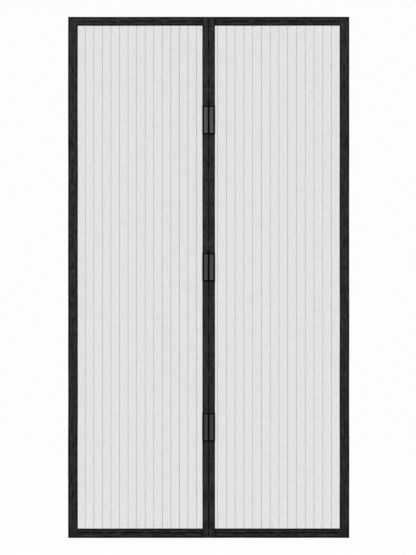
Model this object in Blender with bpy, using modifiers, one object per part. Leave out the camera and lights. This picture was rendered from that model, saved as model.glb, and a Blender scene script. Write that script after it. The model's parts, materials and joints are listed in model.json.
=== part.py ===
"""Magnetic insect screen for a doorway: two panels of striped net, each bound in folded black tape.

Three pairs of bar magnets, in plastic holders, pull the two middle edges together. A flat steel strip
in each bottom hem makes the panel fall straight. Hook-and-loop strips on the back hold the screen to
the door frame along its top and both sides.

Lengths are in metres. X runs to the right, Z up, and the front of the screen faces -Y. The origin is
the middle of the sticky back of the top hook strip, which is where the screen is fixed.
"""

import math

import bmesh
import bpy
from mathutils import Matrix

# The whole screen
SCREEN_WIDTH = 1.187
SCREEN_HEIGHT = 2.200
FIT_GAP = 0.0003  # between pieces that touch

# Folded tape that binds the net on all four sides
SIDE_TAPE_WIDTH = 0.041
INNER_TAPE_WIDTH = 0.0265
TOP_TAPE_WIDTH = 0.038
BOTTOM_TAPE_WIDTH = 0.040
TAPE_THICKNESS = 0.0006
BEND_STEPS = 8  # flats round the fold of the tape

# Net, with a thicker thread woven in at even steps
NET_THICKNESS = 0.0004
STRIPE_WIDTH = 0.0011
STRIPE_THICKNESS = 0.0010
STRIPE_ROUNDING = 0.0003
LEFT_STRIPE_PITCH = 0.0361
LEFT_STRIPE_MARGIN = 0.0316  # from the side tape to the first stripe beside it
RIGHT_STRIPE_PITCH = 0.0370
RIGHT_STRIPE_MARGIN = 0.0339

# Coarse grid of openings that stands for the holes of the net
NET_BAR = 0.004  # width of net left along each stripe and between the openings
OPENING_PITCH = 0.350  # from one row of openings to the next
OPENING_COLUMNS = 12

# Flat steel strip in the bottom hem
WEIGHT_LENGTH = 0.180
WEIGHT_WIDTH = 0.012
WEIGHT_THICKNESS = 0.0010
WEIGHT_INSET = 0.005  # from the inner end of the hem

# Hook-and-loop strips on the back
STRIP_WIDTH = 0.020
HOOK_THICKNESS = 0.0013
LOOP_THICKNESS = 0.0012
STRIP_CORNER_GAP = 0.0010  # between the top strip and a side strip
STRIP_END_MARGIN = 0.010  # from the foot of a side strip to the bottom of the screen
LOOP_MIDDLE_MARGIN = 0.003  # from a top loop strip to the middle of the screen

# Magnet clip: a holder and a back plate, with the folded tape between them
UPPER_CLIP_DROP = 0.4355  # from the top of the screen to the clip's middle
LOWER_CLIP_RISE = 0.467  # from the bottom of the screen
MIDDLE_CLIP_RISE = 0.0267  # above halfway between the other two
COVER_WIDTH = 0.0154
COVER_HEIGHT = 0.1072
COVER_THICKNESS = 0.0016
COVER_PROUD = 0.0008  # how far the cover stands out of its holder
COVER_ROUNDING = 0.0005
MAGNET_THICKNESS = 0.0025
MAGNET_ROUNDING = 0.0003
HOLDER_FLOOR = 0.0014
HOLDER_INNER_RIM = 0.00385  # beside the middle of the screen
HOLDER_OUTER_RIM = 0.0076
HOLDER_END_RIM = 0.0056
HOLDER_ROUNDING = 0.0006
BACK_PLATE_THICKNESS = 0.0015
BACK_PLATE_ROUNDING = 0.0005
POST_SPACING = 0.076
POST_RADIUS = 0.0016
POST_HEAD_RADIUS = 0.0025
POST_HEAD_THICKNESS = 0.0006
POST_SIDES = 12
ROUNDING_STEPS = 2

# Depths, from the sticky back of the hook strips forward
LOOP_BACK = -(HOOK_THICKNESS + FIT_GAP)
TAPE_BACK = LOOP_BACK - LOOP_THICKNESS - FIT_GAP
FOLD_ROOM = max(STRIPE_THICKNESS, NET_THICKNESS, WEIGHT_THICKNESS) + 2 * FIT_GAP  # depth inside the fold
FOLD_RADIUS = FOLD_ROOM / 2 + TAPE_THICKNESS
TAPE_MIDDLE = TAPE_BACK - FOLD_RADIUS

# Places across and up the screen
HALF_WIDTH = SCREEN_WIDTH / 2
PANEL_START = FIT_GAP / 2  # each panel begins this far from the middle of the screen
SCREEN_TOP = TOP_TAPE_WIDTH / 2
SCREEN_BOTTOM = SCREEN_TOP - SCREEN_HEIGHT
SEAT_DEPTH = FOLD_RADIUS + FIT_GAP  # how near the fold a piece inside the tape may come
INNER_TAPE_END = PANEL_START + INNER_TAPE_WIDTH
HEM_NET_EDGE = SEAT_DEPTH + WEIGHT_WIDTH + FIT_GAP  # the net ends above the weight in the bottom hem


def linear(shade):
    """The linear value of a screen value from 0 to 255."""
    share = shade / 255
    return share / 12.92 if share <= 0.04045 else ((share + 0.055) / 1.055) ** 2.4


def material(name, shade, roughness, metallic=0.0):
    """A neutral grey or black finish."""
    made = bpy.data.materials.new(name)
    made.use_nodes = True
    shader = made.node_tree.nodes["Principled BSDF"]
    shader.inputs["Base Color"].default_value = (linear(shade),) * 3 + (1.0,)
    shader.inputs["Roughness"].default_value = roughness
    shader.inputs["Metallic"].default_value = metallic
    return made


def new_collection(name):
    made = bpy.data.collections.new(name)
    bpy.context.scene.collection.children.link(made)
    return made


def add_object(name, mesh, finish, collection, parent=None, location=(0, 0, 0), turn=(0, 0, 0)):
    """Puts a mesh in the scene. turn is its rotation about X, Y and Z, in radians."""
    made = bpy.data.objects.new(name, mesh)
    if finish is not None and not mesh.materials:
        mesh.materials.append(finish)
    made.location = location
    made.rotation_euler = turn
    made.parent = parent
    collection.objects.link(made)
    return made


def add_empty(name, collection, parent=None, location=(0, 0, 0), turn=(0, 0, 0)):
    made = bpy.data.objects.new(name, None)
    made.empty_display_size = SIDE_TAPE_WIDTH
    made.location = location
    made.rotation_euler = turn
    made.parent = parent
    collection.objects.link(made)
    return made


def mesh_from(bm, name):
    made = bpy.data.meshes.new(name)
    bm.to_mesh(made)
    bm.free()
    return made


def add_box(bm, low, high):
    """Adds a box between two corners."""
    size = [b - a for a, b in zip(low, high)]
    middle = [(a + b) / 2 for a, b in zip(low, high)]
    verts = bmesh.ops.create_cube(bm, size=1.0)["verts"]
    bmesh.ops.scale(bm, vec=size, verts=verts)
    bmesh.ops.translate(bm, vec=middle, verts=verts)


def add_rod(bm, radius, y_from, y_to, x, z):
    """Adds a round rod that runs along Y."""
    place = Matrix.Translation((x, (y_from + y_to) / 2, z)) @ Matrix.Rotation(math.pi / 2, 4, "X")
    bmesh.ops.create_cone(
        bm,
        cap_ends=True,
        segments=POST_SIDES,
        radius1=radius,
        radius2=radius,
        depth=abs(y_to - y_from),
        matrix=place,
    )


def box_mesh(name, low, high):
    bm = bmesh.new()
    add_box(bm, low, high)
    return mesh_from(bm, name)


def bevel(obj, width):
    made = obj.modifiers.new("rounded edges", "BEVEL")
    made.width = width
    made.segments = ROUNDING_STEPS
    made.limit_method = "ANGLE"


def boolean(obj, other, operation):
    made = obj.modifiers.new(operation.lower(), "BOOLEAN")
    made.object = other
    made.operation = operation
    made.solver = "EXACT"


def helper(name, mesh, collection):
    """A cutter, or a shape to be joined, which isn't part of the screen itself."""
    made = add_object(name, mesh, None, collection)
    made.hide_render = True
    made.display_type = "WIRE"
    return made


def finished(obj, name):
    """The mesh of an object with its modifiers carried out. The object is removed."""
    bpy.context.view_layer.update()
    graph = bpy.context.evaluated_depsgraph_get()
    made = bpy.data.meshes.new_from_object(obj.evaluated_get(graph))
    made.name = name
    bpy.data.objects.remove(obj)
    return made


def sweep(name, outline, length, start_slope=0.0, end_slope=0.0):
    """Sweeps a flat outline in X and Y along Z. A slope cuts that end at an angle, as for a mitre."""
    bm = bmesh.new()
    near = [bm.verts.new((x, y, 0)) for x, y in outline]
    swept = bmesh.ops.extrude_face_region(bm, geom=[bm.faces.new(near)])["geom"]
    far = [item for item in swept if isinstance(item, bmesh.types.BMVert)]
    for vert in far:
        vert.co.z = length - end_slope * vert.co.x
    for vert in near:
        vert.co.z = start_slope * vert.co.x
    bmesh.ops.recalc_face_normals(bm, faces=bm.faces)
    return mesh_from(bm, name)


def folded_outline(width):
    """Section of the tape: folded in two round a half circle, with its free edges at x = width."""
    inside = FOLD_RADIUS - TAPE_THICKNESS
    turns = [math.pi * (0.5 + step / BEND_STEPS) for step in range(BEND_STEPS + 1)]
    outer = [(FOLD_RADIUS + FOLD_RADIUS * math.cos(a), FOLD_RADIUS * math.sin(a)) for a in turns]
    inner = [(FOLD_RADIUS + inside * math.cos(a), inside * math.sin(a)) for a in turns]
    back = [(width, FOLD_RADIUS)]
    front = [(width, -FOLD_RADIUS), (width, -inside)]
    return back + outer + front + inner[::-1] + [(width, inside)]


def net_outline(width, stripes):
    """Section of the net seen from above: a thin wall that thickens at each woven stripe."""
    half_wall = NET_THICKNESS / 2
    half_stripe = STRIPE_THICKNESS / 2
    front = [(0.0, -half_wall)]
    for middle in stripes:
        foot = STRIPE_WIDTH / 2
        crest = foot - STRIPE_ROUNDING
        front += [(middle - foot, -half_wall), (middle - crest, -half_stripe)]
        front += [(middle + crest, -half_stripe), (middle + foot, -half_wall)]
    front.append((width, -half_wall))
    back = [(x, -y) for x, y in reversed(front)]
    return front + back


def clip_heights():
    """Where the middle of each magnet clip lies."""
    upper = SCREEN_TOP - UPPER_CLIP_DROP
    lower = SCREEN_BOTTOM + LOWER_CLIP_RISE
    return {"upper": upper, "middle": (upper + lower) / 2 + MIDDLE_CLIP_RISE, "lower": lower}


def post_heights():
    """Where the posts of all the clips go through."""
    return [height + end * POST_SPACING / 2 for height in clip_heights().values() for end in (-1, 1)]


def post_cutter(name, side, collection):
    """Rods that punch the holes for the clips' posts through tape and net."""
    bm = bmesh.new()
    x = side * (PANEL_START + post_distance())
    deep = 2 * FOLD_RADIUS
    for z in post_heights():
        add_rod(bm, POST_RADIUS + FIT_GAP, TAPE_MIDDLE - deep, TAPE_MIDDLE + deep, x, z)
    return helper(name, mesh_from(bm, name), collection)


def post_distance():
    """From the middle edge of the panel to the line of posts, which run behind the magnet's middle."""
    return HOLDER_INNER_RIM + FIT_GAP + COVER_WIDTH / 2


def holder_front():
    """How far forward of its back face the holder's rim stands."""
    return HOLDER_FLOOR + FIT_GAP + MAGNET_THICKNESS + FIT_GAP + COVER_THICKNESS - COVER_PROUD


def clip_meshes(cutters):
    """The four meshes of a clip, around the point on the tape's front where the clip's middle edge lies.

    X runs from the middle of the screen outwards, and the clip stands forward, in -Y.
    """
    pocket_low = HOLDER_INNER_RIM
    pocket_high = HOLDER_INNER_RIM + COVER_WIDTH + 2 * FIT_GAP
    outer_edge = pocket_high + HOLDER_OUTER_RIM
    pocket_half = COVER_HEIGHT / 2 + FIT_GAP
    half_height = pocket_half + HOLDER_END_RIM
    cover_low = pocket_low + FIT_GAP
    cover_high = pocket_high - FIT_GAP
    posts = [(post_distance(), end * POST_SPACING / 2) for end in (-1, 1)]

    back = -FIT_GAP
    floor = back - HOLDER_FLOOR
    magnet_back = floor - FIT_GAP
    cover_back = magnet_back - MAGNET_THICKNESS - FIT_GAP
    cover_front = cover_back - COVER_THICKNESS
    rim = back - holder_front()
    plate_front = 2 * FOLD_RADIUS + FIT_GAP

    bm = bmesh.new()
    add_box(bm, (pocket_low, 2 * rim, -pocket_half), (pocket_high, floor, pocket_half))
    pocket = helper("pocket cutter", mesh_from(bm, "pocket cutter"), cutters)
    bm = bmesh.new()
    for x, z in posts:
        add_rod(bm, POST_RADIUS + FIT_GAP, floor - HOLDER_FLOOR, back + HOLDER_FLOOR, x, z)
    shanks = helper("post hole cutter", mesh_from(bm, "post hole cutter"), cutters)
    bm = bmesh.new()
    for x, z in posts:
        head_seat = floor + POST_HEAD_THICKNESS + FIT_GAP
        add_rod(bm, POST_HEAD_RADIUS + FIT_GAP, floor - HOLDER_FLOOR, head_seat, x, z)
    heads = helper("post head cutter", mesh_from(bm, "post head cutter"), cutters)
    block = box_mesh("holder block", (0, rim, -half_height), (outer_edge, back, half_height))
    holder = add_object("holder block", block, None, cutters)
    bevel(holder, HOLDER_ROUNDING)
    for cutter in (pocket, shanks, heads):
        boolean(holder, cutter, "DIFFERENCE")

    bm = bmesh.new()
    for x, z in posts:
        add_rod(bm, POST_RADIUS, floor + POST_HEAD_THICKNESS / 2, plate_front + BACK_PLATE_THICKNESS / 2, x, z)
    post_shapes = helper("posts", mesh_from(bm, "posts"), cutters)
    bm = bmesh.new()
    for x, z in posts:
        add_rod(bm, POST_HEAD_RADIUS, floor, floor + POST_HEAD_THICKNESS, x, z)
    head_shapes = helper("post heads", mesh_from(bm, "post heads"), cutters)
    slab = box_mesh(
        "plate slab",
        (0, plate_front, -half_height),
        (outer_edge, plate_front + BACK_PLATE_THICKNESS, half_height),
    )
    plate = add_object("plate slab", slab, None, cutters)
    bevel(plate, BACK_PLATE_ROUNDING)
    boolean(plate, post_shapes, "UNION")
    boolean(plate, head_shapes, "UNION")

    magnet = box_mesh(
        "magnet block",
        (cover_low, magnet_back - MAGNET_THICKNESS, -COVER_HEIGHT / 2),
        (cover_high, magnet_back, COVER_HEIGHT / 2),
    )
    magnet = add_object("magnet block", magnet, None, cutters)
    bevel(magnet, MAGNET_ROUNDING)
    cap = box_mesh(
        "cover block", (cover_low, cover_front, -COVER_HEIGHT / 2), (cover_high, cover_back, COVER_HEIGHT / 2)
    )
    cap = add_object("cover block", cap, None, cutters)
    bevel(cap, COVER_ROUNDING)
    return {
        "magnet_holder": finished(holder, "magnet_holder"),
        "back_plate": finished(plate, "back_plate"),
        "bar_magnet": finished(magnet, "bar_magnet"),
        "magnet_cover": finished(cap, "magnet_cover"),
    }


def build_tapes(word, side, panel, finish, parts, holes):
    """The four folded tapes round one panel. The outer corners are mitred."""
    edge = side * HALF_WIDTH
    turned = math.pi if side > 0 else 0.0  # the right panel's tapes open to the left
    middle = INNER_TAPE_END + FIT_GAP
    run = HALF_WIDTH - middle

    side_tape = sweep(
        f"{word}_side_tape",
        folded_outline(SIDE_TAPE_WIDTH),
        SCREEN_HEIGHT,
        BOTTOM_TAPE_WIDTH / SIDE_TAPE_WIDTH,
        TOP_TAPE_WIDTH / SIDE_TAPE_WIDTH,
    )
    place = (edge, TAPE_MIDDLE, SCREEN_BOTTOM)
    add_object(f"{word}_side_tape", side_tape, finish, parts, panel, place, (0, 0, turned))

    inner = sweep(f"{word}_inner_tape", folded_outline(INNER_TAPE_WIDTH), SCREEN_HEIGHT)
    place = (side * PANEL_START, TAPE_MIDDLE, SCREEN_BOTTOM)
    inner = add_object(
        f"{word}_inner_tape", inner, finish, parts, panel, place, (0, 0, math.pi - turned)
    )
    boolean(inner, holes, "DIFFERENCE")

    levels = (("top", TOP_TAPE_WIDTH, SCREEN_TOP, 1), ("bottom", BOTTOM_TAPE_WIDTH, SCREEN_BOTTOM, -1))
    for level, width, height, up in levels:
        # The mitre stands back far enough to leave the gap square to the slanting cut.
        slope = SIDE_TAPE_WIDTH / width
        mitre_gap = FIT_GAP * math.hypot(1, slope)
        at_start = up * side < 0  # whether the mitred corner is where the sweep begins
        outline = folded_outline(width)
        name = f"{word}_{level}_tape"
        if at_start:
            tape = sweep(name, outline, run - mitre_gap, slope, 0.0)
            start = side * (HALF_WIDTH - mitre_gap)
        else:
            tape = sweep(name, outline, run - mitre_gap, 0.0, slope)
            start = side * middle
        place = (start, TAPE_MIDDLE, height)
        add_object(name, tape, finish, parts, panel, place, (0, up * math.pi / 2, 0))


def opening_cutter(name, stripes, width, collection):
    """Boxes that cut a grid of openings into a net, one column between each two stripes that show."""
    shown_from = SIDE_TAPE_WIDTH - SEAT_DEPTH
    shown_to = width + SEAT_DEPTH - INNER_TAPE_WIDTH
    shown = [stripe for stripe in stripes if shown_from < stripe < shown_to]
    foot = BOTTOM_TAPE_WIDTH - HEM_NET_EDGE
    space = SCREEN_HEIGHT - BOTTOM_TAPE_WIDTH - TOP_TAPE_WIDTH
    rows = int((space - NET_BAR) / OPENING_PITCH)
    first = foot + (space - rows * OPENING_PITCH + NET_BAR) / 2
    bm = bmesh.new()
    for near, far in list(zip(shown, shown[1:]))[:OPENING_COLUMNS]:
        for row in range(rows):
            low = first + row * OPENING_PITCH
            high = low + OPENING_PITCH - NET_BAR
            add_box(
                bm,
                (near + NET_BAR / 2, -STRIPE_THICKNESS, low),
                (far - NET_BAR / 2, STRIPE_THICKNESS, high),
            )
    return helper(name, mesh_from(bm, name), collection)


def build_net(word, side, panel, finish, parts, cutters, holes):
    """One panel of net, whose edges are held inside the folded tapes."""
    pitch, margin = {
        "left": (LEFT_STRIPE_PITCH, LEFT_STRIPE_MARGIN),
        "right": (RIGHT_STRIPE_PITCH, RIGHT_STRIPE_MARGIN),
    }[word]
    width = HALF_WIDTH - PANEL_START - 2 * SEAT_DEPTH
    height = SCREEN_HEIGHT - SEAT_DEPTH - HEM_NET_EDGE
    foot = SCREEN_BOTTOM + HEM_NET_EDGE
    # The stripes run on at the same pitch under the tapes.
    first = (SIDE_TAPE_WIDTH - SEAT_DEPTH + margin) % pitch
    woven = [first + step * pitch for step in range(int(width / pitch) + 1)]
    stripes = [stripe for stripe in woven if STRIPE_WIDTH < stripe < width - STRIPE_WIDTH]
    mesh = sweep(f"{word}_net", net_outline(width, stripes), height)
    place = (side * (HALF_WIDTH - SEAT_DEPTH), TAPE_MIDDLE, foot)
    turn = (0, 0, math.pi if side > 0 else 0.0)
    net = add_object(f"{word}_net", mesh, finish, parts, panel, place, turn)
    openings = opening_cutter(f"{word} opening cutter", stripes, width, cutters)
    openings.location = place
    openings.rotation_euler = turn
    boolean(net, openings, "DIFFERENCE")
    boolean(net, holes, "DIFFERENCE")


def build_weight(word, side, panel, finish, parts):
    """The flat steel strip in the bottom hem, beside the middle edge."""
    near = side * (INNER_TAPE_END + FIT_GAP + WEIGHT_INSET)
    far = near + side * WEIGHT_LENGTH
    foot = SCREEN_BOTTOM + SEAT_DEPTH
    mesh = box_mesh(
        f"{word}_hem_weight",
        (min(near, far), TAPE_MIDDLE - WEIGHT_THICKNESS / 2, foot),
        (max(near, far), TAPE_MIDDLE + WEIGHT_THICKNESS / 2, foot + WEIGHT_WIDTH),
    )
    add_object(f"{word}_hem_weight", mesh, finish, parts, panel)


def strip_outer_edge():
    """From the middle of the screen to the outer edge of the strips on the side tapes."""
    return HALF_WIDTH - (SIDE_TAPE_WIDTH - STRIP_WIDTH) / 2


def strip_between(name, x_from, x_to, z_from, z_to, back, thickness):
    low = (min(x_from, x_to), back - thickness, z_from)
    high = (max(x_from, x_to), back, z_to)
    return box_mesh(name, low, high)


def build_loop_strips(word, side, panel, finish, parts):
    """The soft strips sewn to the back of the top and side tapes."""
    outer = side * strip_outer_edge()
    name = f"{word}_top_loop_strip"
    half = STRIP_WIDTH / 2
    top = strip_between(name, side * LOOP_MIDDLE_MARGIN, outer, -half, half, LOOP_BACK, LOOP_THICKNESS)
    add_object(name, top, finish, parts, panel)
    name = f"{word}_side_loop_strip"
    inner = outer - side * STRIP_WIDTH
    foot = SCREEN_BOTTOM + STRIP_END_MARGIN
    head = -half - STRIP_CORNER_GAP
    down = strip_between(name, inner, outer, foot, head, LOOP_BACK, LOOP_THICKNESS)
    add_object(name, down, finish, parts, panel)


def build_hook_strips(finish, parts):
    """The sticky-backed strips that stay on the door frame and grip the loop strips."""
    half = STRIP_WIDTH / 2
    outer = strip_outer_edge()
    top = strip_between("top_hook_strip", -outer, outer, -half, half, 0.0, HOOK_THICKNESS)
    add_object("top_hook_strip", top, finish, parts)
    foot = SCREEN_BOTTOM + STRIP_END_MARGIN
    head = -half - STRIP_CORNER_GAP
    for word, side in (("left", -1), ("right", 1)):
        name = f"{word}_hook_strip"
        edges = (side * (outer - STRIP_WIDTH), side * outer)
        add_object(name, strip_between(name, *edges, foot, head, 0.0, HOOK_THICKNESS), finish, parts)


def build_clips(word, side, panel, meshes, finishes, parts):
    """The three magnet clips of one panel. The left panel's are the same pieces turned half round."""
    turn = (0, 0.0 if side > 0 else math.pi, 0)
    for level, height in clip_heights().items():
        place = (side * PANEL_START, TAPE_MIDDLE - FOLD_RADIUS, height)
        clip = add_empty(f"{word} {level} clip", parts, panel, place, turn)
        for piece, mesh in meshes.items():
            add_object(f"{word}_{level}_{piece}", mesh, finishes[piece], parts, clip)


def main():
    for obj in list(bpy.data.objects):
        bpy.data.objects.remove(obj)
    parts = new_collection("magnetic insect screen")
    cutters = new_collection("cutters")
    tape = material("tape", 46, 0.85)
    net = material("net", 44, 0.6)
    steel = material("hem_steel", 150, 0.4, 1.0)
    loop = material("loop", 34, 0.95)
    hook = material("hook", 38, 0.6)
    finishes = {
        "magnet_holder": material("holder", 20, 0.45),
        "back_plate": material("back_plate", 24, 0.5),
        "bar_magnet": material("magnet", 110, 0.5, 1.0),
        "magnet_cover": material("cover", 79, 0.5),
    }
    meshes = clip_meshes(cutters)
    for word, side in (("left", -1), ("right", 1)):
        panel = add_empty(f"{word} panel", parts)
        holes = post_cutter(f"{word} post cutter", side, cutters)
        build_tapes(word, side, panel, tape, parts, holes)
        build_net(word, side, panel, net, parts, cutters, holes)
        build_weight(word, side, panel, steel, parts)
        build_loop_strips(word, side, panel, loop, parts)
        build_clips(word, side, panel, meshes, finishes, parts)
    build_hook_strips(hook, parts)


main()
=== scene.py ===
# %% [markdown]
# # A magnetic insect screen
#
# The screen hangs in a doorway. Two panels of black net are bound in folded tape, and three pairs of
# magnet clips hold the panels shut along the middle. The solids of the screen are already made. This
# lesson dresses them: it weaves the net, folds and sews the tape, and gives every surface the finish of
# the real material. Lengths are in metres, X runs to the right, Z up, and the front faces -Y.

# %% Load the solids
import json
import math

import bmesh
import bpy
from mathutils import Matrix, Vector, noise

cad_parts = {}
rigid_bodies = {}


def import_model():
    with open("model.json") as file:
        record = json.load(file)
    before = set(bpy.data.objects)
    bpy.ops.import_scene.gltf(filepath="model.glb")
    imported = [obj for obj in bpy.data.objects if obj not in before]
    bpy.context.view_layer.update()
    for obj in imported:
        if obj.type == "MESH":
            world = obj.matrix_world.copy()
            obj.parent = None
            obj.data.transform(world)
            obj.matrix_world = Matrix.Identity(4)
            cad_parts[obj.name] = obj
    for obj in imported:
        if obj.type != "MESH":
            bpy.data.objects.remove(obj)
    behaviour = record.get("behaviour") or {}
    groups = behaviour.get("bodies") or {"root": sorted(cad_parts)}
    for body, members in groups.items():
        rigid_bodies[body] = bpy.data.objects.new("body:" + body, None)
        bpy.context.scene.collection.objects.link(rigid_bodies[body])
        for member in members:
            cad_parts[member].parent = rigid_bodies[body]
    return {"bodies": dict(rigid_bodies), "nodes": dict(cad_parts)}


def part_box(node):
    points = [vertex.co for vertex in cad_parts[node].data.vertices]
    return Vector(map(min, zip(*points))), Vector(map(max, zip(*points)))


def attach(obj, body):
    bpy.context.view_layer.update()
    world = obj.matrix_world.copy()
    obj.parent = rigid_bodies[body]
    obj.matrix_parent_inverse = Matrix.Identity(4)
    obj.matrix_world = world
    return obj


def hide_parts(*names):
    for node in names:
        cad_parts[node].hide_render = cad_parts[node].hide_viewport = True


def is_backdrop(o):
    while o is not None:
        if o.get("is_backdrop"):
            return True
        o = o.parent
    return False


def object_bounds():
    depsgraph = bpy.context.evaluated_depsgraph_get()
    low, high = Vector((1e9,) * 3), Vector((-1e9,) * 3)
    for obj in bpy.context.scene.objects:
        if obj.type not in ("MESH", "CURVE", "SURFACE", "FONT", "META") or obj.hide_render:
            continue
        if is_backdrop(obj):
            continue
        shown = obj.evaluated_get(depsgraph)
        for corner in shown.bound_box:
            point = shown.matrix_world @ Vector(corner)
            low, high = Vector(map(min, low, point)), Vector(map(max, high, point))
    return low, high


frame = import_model()
cad_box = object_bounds()
BODY = next(iter(frame["bodies"]))
print("solids:", len(frame["nodes"]), "body:", BODY)

# %% [markdown]
# ## Two helpers
#
# Colours are written as hex values, as a paint program shows them. Blender's shaders count in linear
# light, so one function turns the one into the other. A node tree is mostly the same step again and
# again: add a node, set it, link it. One function does that, so that each tree below reads as a list.

# %% Colour and node helpers
def linear(code):
    """The linear colour of an sRGB hex value such as #2e2e2f."""
    shares = [int(code[place : place + 2], 16) / 255 for place in (1, 3, 5)]
    return tuple(s / 12.92 if s <= 0.04045 else ((s + 0.055) / 1.055) ** 2.4 for s in shares) + (1.0,)


def add_node(tree, kind, inputs=None, stops=(), **settings):
    """Adds a node and sets it. An input is a value, or another node's output to link.

    Stops are the two ends of a colour ramp, each with its place and its hex colour.
    """
    node = tree.nodes.new(kind)
    for name, value in settings.items():
        setattr(node, name, value)
    for key, value in (inputs or {}).items():
        if isinstance(value, bpy.types.NodeSocket):
            tree.links.new(value, node.inputs[key])
        else:
            node.inputs[key].default_value = value
    for step, (place, code) in enumerate(stops):
        node.color_ramp.elements[step].position = place
        node.color_ramp.elements[step].color = linear(code)
    return node


print("mid grey #808080 is", round(linear("#808080")[0], 3), "in linear light")

# %% [markdown]
# ## Camera
#
# The screen was seen square-on and from far away, so its edges stay parallel. A long lens 12 m in front
# gives that. The picture is 555 pixels high and shows 4.223 mm to a pixel, which sets the lens.

# %% Camera
PICTURE_HEIGHT = 555  # pixels
PIXEL = 0.004223
DISTANCE = 12.0
SENSOR = 36.0  # mm along the longer side of the picture, which is its height
AIM = (-0.0030, -1.0815)  # across and up: the middle of the picture

camera = bpy.data.objects.new("camera", bpy.data.cameras.new("camera"))
camera.data.sensor_width = SENSOR
camera.data.lens = SENSOR * DISTANCE / (PICTURE_HEIGHT * PIXEL)
camera.data.clip_end = 200.0
camera.location = (AIM[0], -DISTANCE, AIM[1])
camera.rotation_euler = (math.pi / 2, 0.0, 0.0)
bpy.context.collection.objects.link(camera)
bpy.context.scene.camera = camera
bpy.context.scene.view_settings.view_transform = "Standard"
print("lens:", round(camera.data.lens, 1), "mm")

# %% [markdown]
# ## Studio
#
# A product photograph on white has a background that is almost pure white, while the light on the object
# is plain. The world does both: what the camera sees is white, and what lights the object is a dimmer
# even glow. The floor works the same way, but keeps a share of real diffuse light, so that the shadow of
# the screen still falls on it. One broad lamp stands high in front on the left, and a weaker, softer one
# on the right.

# %% World
WHITE = 0.977  # 252 on the screen
GLOW = 0.45
PLAIN = (1.0, 1.0, 1.0, 1.0)


def seen_white(tree):
    """1 where the camera, a reflection or a view through glass looks, else 0."""
    path = add_node(tree, "ShaderNodeLightPath").outputs
    straight = {0: path["Is Camera Ray"], 1: path["Is Glossy Ray"]}
    straight = add_node(tree, "ShaderNodeMath", straight, operation="MAXIMUM").outputs[0]
    through = {0: straight, 1: path["Is Transmission Ray"]}
    return add_node(tree, "ShaderNodeMath", through, operation="MAXIMUM").outputs[0]


world = bpy.data.worlds.new("studio")
world.use_nodes = True
tree = world.node_tree
tree.nodes.clear()
glow = add_node(tree, "ShaderNodeBackground", {"Color": PLAIN, "Strength": GLOW}).outputs[0]
white = add_node(tree, "ShaderNodeBackground", {"Color": PLAIN, "Strength": WHITE}).outputs[0]
mixed = add_node(tree, "ShaderNodeMixShader", {0: seen_white(tree), 1: glow, 2: white})
add_node(tree, "ShaderNodeOutputWorld", {"Surface": mixed.outputs[0]})
bpy.context.scene.world = world
print("world:", len(tree.nodes), "nodes")

# %% Floor
PAPER = "#f2f2f2"
FLOOR_SHADOW_SHARE = 0.06
FLOOR_DROP = 0.010  # below the foot of the screen
FLOOR_HALF = 60.0

# Matt white paper: no gloss, and as bright as the background around it.
paper = bpy.data.materials.new("matt white studio floor")
paper.use_nodes = True
tree = paper.node_tree
tree.nodes.clear()
diffuse = add_node(tree, "ShaderNodeBsdfDiffuse", {"Color": linear(PAPER)}).outputs[0]
rest_of_white = (WHITE - FLOOR_SHADOW_SHARE * GLOW * linear(PAPER)[0]) / (1 - FLOOR_SHADOW_SHARE)
bright = add_node(tree, "ShaderNodeEmission", {"Color": PLAIN, "Strength": rest_of_white}).outputs[0]
share = {0: seen_white(tree), 1: 1 - FLOOR_SHADOW_SHARE}
share = add_node(tree, "ShaderNodeMath", share, operation="MULTIPLY").outputs[0]
mixed = add_node(tree, "ShaderNodeMixShader", {0: share, 1: diffuse, 2: bright})
add_node(tree, "ShaderNodeOutputMaterial", {"Surface": mixed.outputs[0]})

floor_level = cad_box[0].z - FLOOR_DROP
corners = [(-1, -1), (1, -1), (1, 1), (-1, 1)]
corners = [(x * FLOOR_HALF, y * FLOOR_HALF, floor_level) for x, y in corners]
floor_mesh = bpy.data.meshes.new("floor")
floor_mesh.from_pydata(corners, [], [(0, 1, 2, 3)])
floor_mesh.materials.append(paper)
floor = bpy.data.objects.new("floor", floor_mesh)
bpy.context.collection.objects.link(floor)
floor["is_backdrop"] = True
print("floor at", round(floor_level, 4))

# %% Lamps
def soft_lamp(name, place, size, power):
    """A square lamp that faces the middle of the screen."""
    lamp = bpy.data.objects.new(name, bpy.data.lights.new(name, "AREA"))
    lamp.data.shape = "SQUARE"
    lamp.data.size = size
    lamp.data.energy = power
    lamp.location = place
    lamp.rotation_euler = (Vector((0, 0, AIM[1])) - Vector(place)).to_track_quat("-Z", "Y").to_euler()
    lamp.visible_camera = False
    bpy.context.collection.objects.link(lamp)
    print(name, "lamp at", place)


soft_lamp("key", (-1.8, -4.5, 2.4), 2.5, 150.0)
soft_lamp("fill", (3.5, -5.0, -0.2), 3.0, 60.0)

# %% [markdown]
# ## Net
#
# The net is plain black polyester mesh, about 17 threads to the inch each way. It looks pale grey from a
# step away only because the white behind shows through its holes, so the holes have to be real. A picture
# of a net on a flat sheet would not cast the right shadow and would fail from the side. Geometry Nodes
# lays one thread along each line of a grid: the weft runs across just behind the warp and touches it. A
# true over-and-under weave would bend each thread at half a million crossings, which nobody can see.

# %% Sizes of the net
NET_PITCH = 0.0015
THREAD = 0.00018
STRIPE_WIDTH = 0.0011
STRIPE_DEPTH = 0.0010
STRIPE_PITCH = {"left": 0.0361, "right": 0.0370}
STRIPE_MARGIN = {"left": 0.0316, "right": 0.0339}  # from the side tape to the first stripe beside it
SIDES = {"left": -1, "right": 1}


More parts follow.
